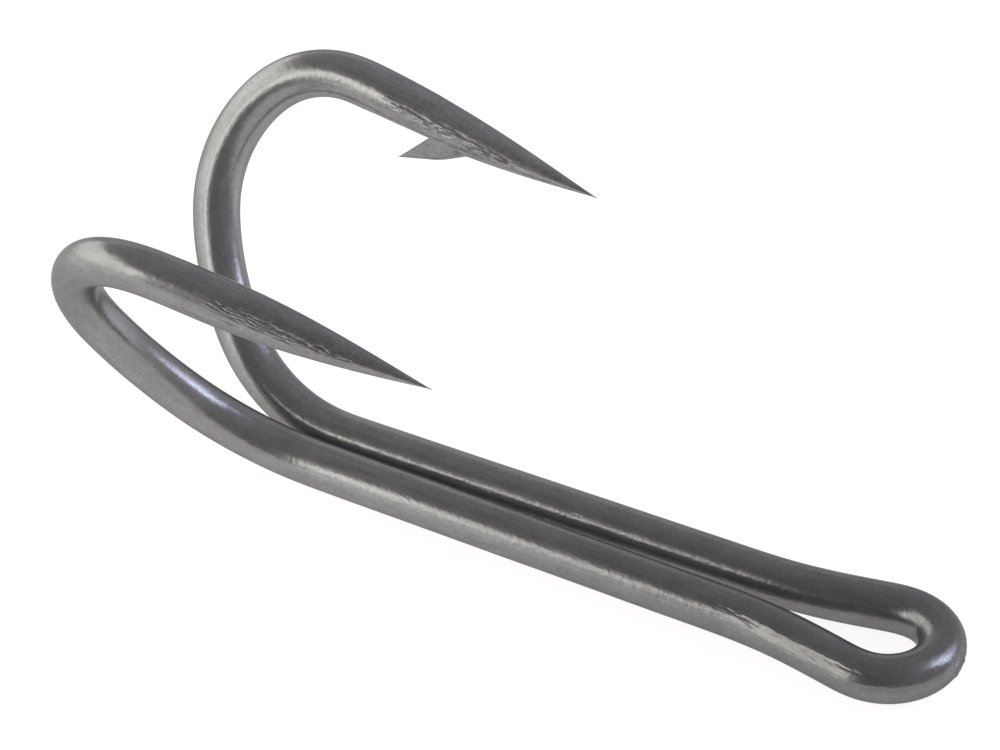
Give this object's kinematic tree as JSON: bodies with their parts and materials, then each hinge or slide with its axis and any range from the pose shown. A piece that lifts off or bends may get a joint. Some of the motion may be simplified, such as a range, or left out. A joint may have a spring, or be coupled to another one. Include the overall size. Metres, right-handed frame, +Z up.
{
  "type": "double fishing hook",
  "caption": "Double fishing hook of round stainless wire folded into an open eye, with side-by-side shanks, splayed round bends, ground points and cut barbs.",
  "frame": {"origin": "on the surface the hook lies on, under the centre of its bounding box", "axes": "+X from the eye to the bends, +Y to the left hook, +Z up, along the line that halves the angle between the two hooks"},
  "size_m": [0.0865, 0.0406, 0.0333],
  "materials": {
    "drawn_wire": "satin grey stainless wire with fine drawing marks",
    "ground_point": "ground satin stainless, with rough cut marks beside the barb"
  },
  "bodies": {
    "root": {"eye": "drawn_wire", "shank_left": "drawn_wire", "shank_right": "drawn_wire", "bend_left": "drawn_wire", "bend_right": "drawn_wire", "point_left": "ground_point", "point_right": "ground_point", "barb_left": "ground_point", "barb_right": "ground_point"}
  },
  "joints": []
}
